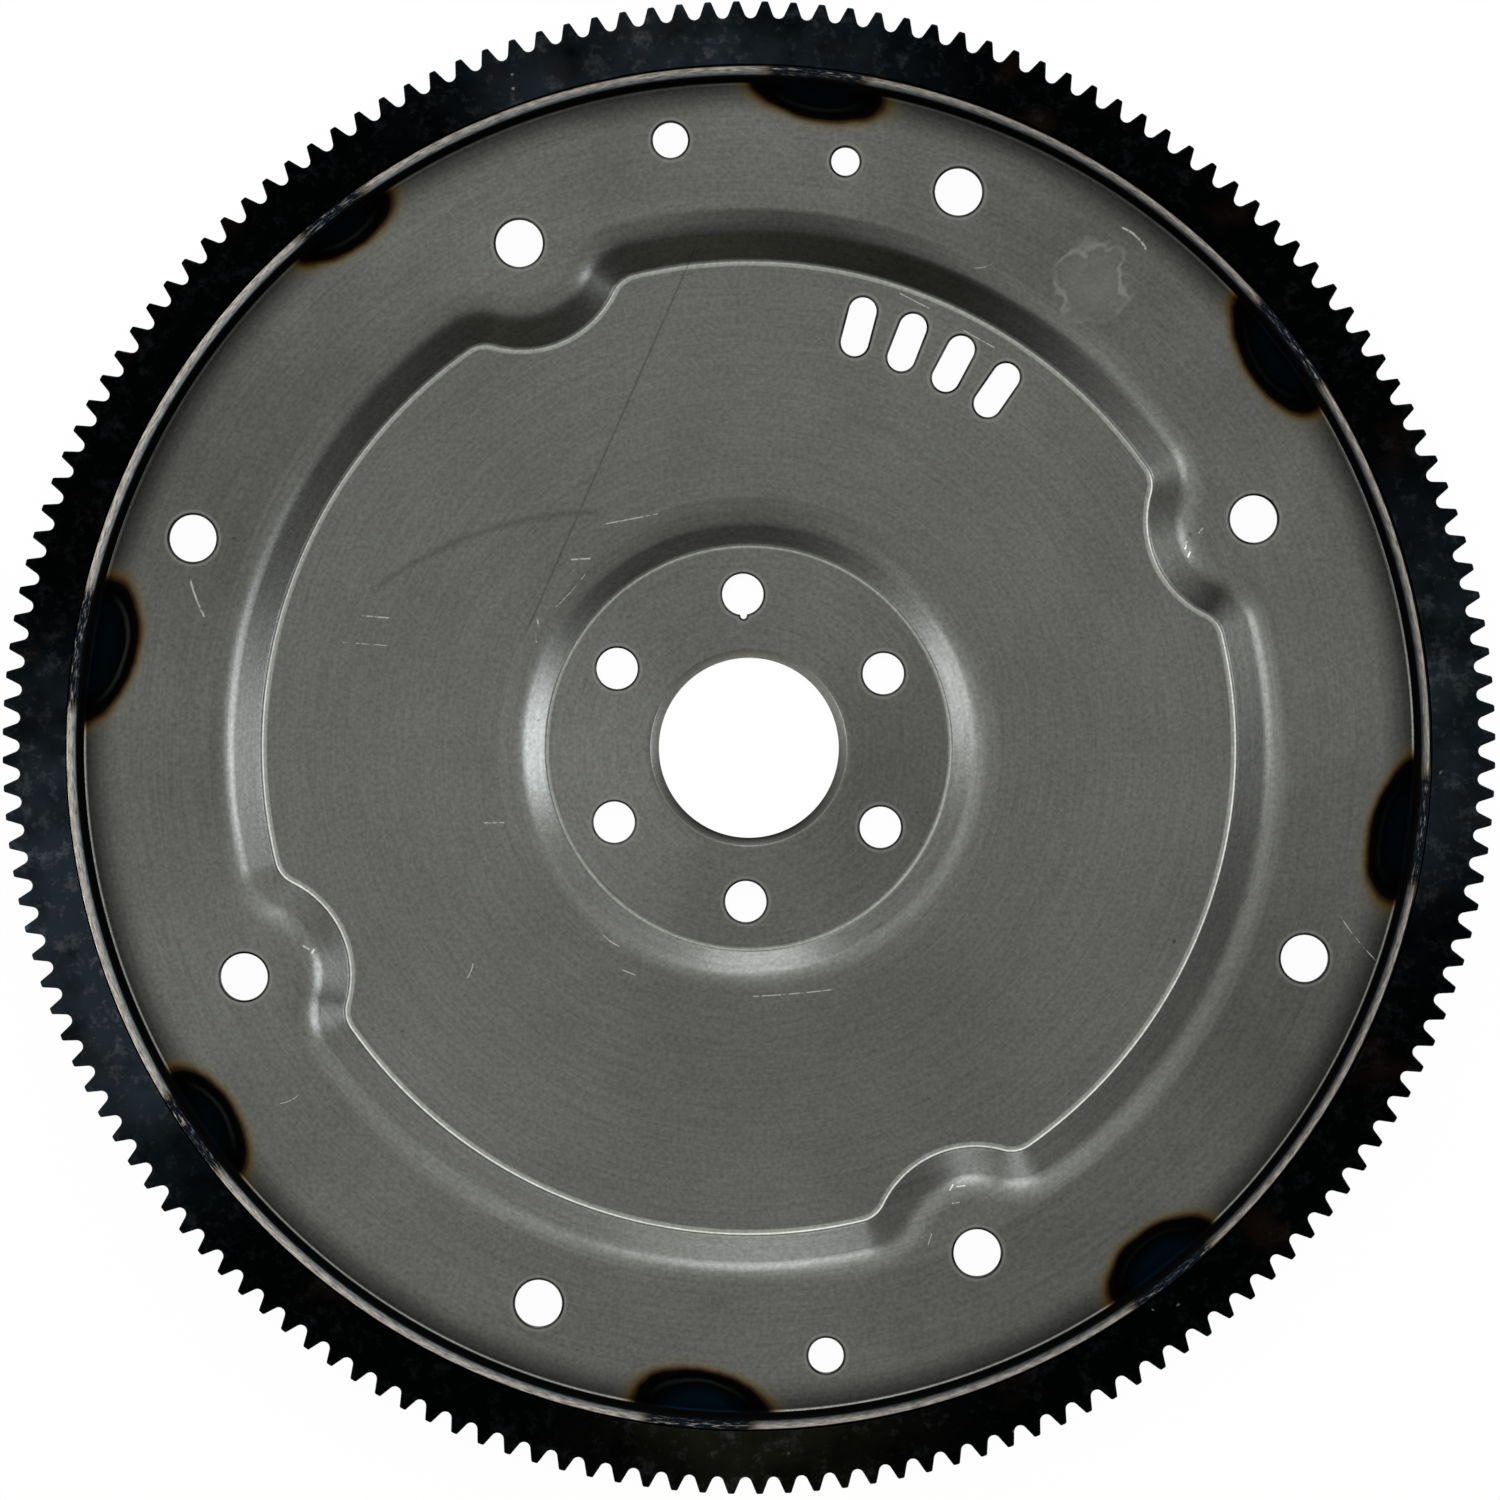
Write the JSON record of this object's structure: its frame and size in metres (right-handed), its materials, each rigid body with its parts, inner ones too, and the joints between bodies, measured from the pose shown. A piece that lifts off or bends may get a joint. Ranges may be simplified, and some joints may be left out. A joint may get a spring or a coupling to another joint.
{
  "type": "flexplate",
  "caption": "Dished sheet-steel flexplate with a starter ring gear welded round its flange, carrying drive from a crankshaft to a torque converter.",
  "frame": {"origin": "on the crankshaft axis, in the plane of the hub's back face on which the plate rests", "axes": "+Z along the crankshaft axis towards the converter side, the open side of the dish; +Y towards the crank bolt hole that is set off the even spacing, which lies a few degrees from +Y"},
  "size_m": [0.361, 0.361, 0.023],
  "materials": {
    "plate_steel": "bare cold-rolled sheet, satin, heat tinted over the welds",
    "gear_steel": "blue-black oxide, matt, scuffed",
    "weld_metal": "rippled weld bead with dark scale"
  },
  "bodies": {
    "root": {"plate": "plate_steel", "ring_gear": "gear_steel", "weld_bead_1": "weld_metal", "weld_bead_2": "weld_metal", "weld_bead_3": "weld_metal", "weld_bead_4": "weld_metal", "weld_bead_5": "weld_metal", "weld_bead_6": "weld_metal", "weld_bead_7": "weld_metal", "weld_bead_8": "weld_metal"}
  },
  "joints": []
}
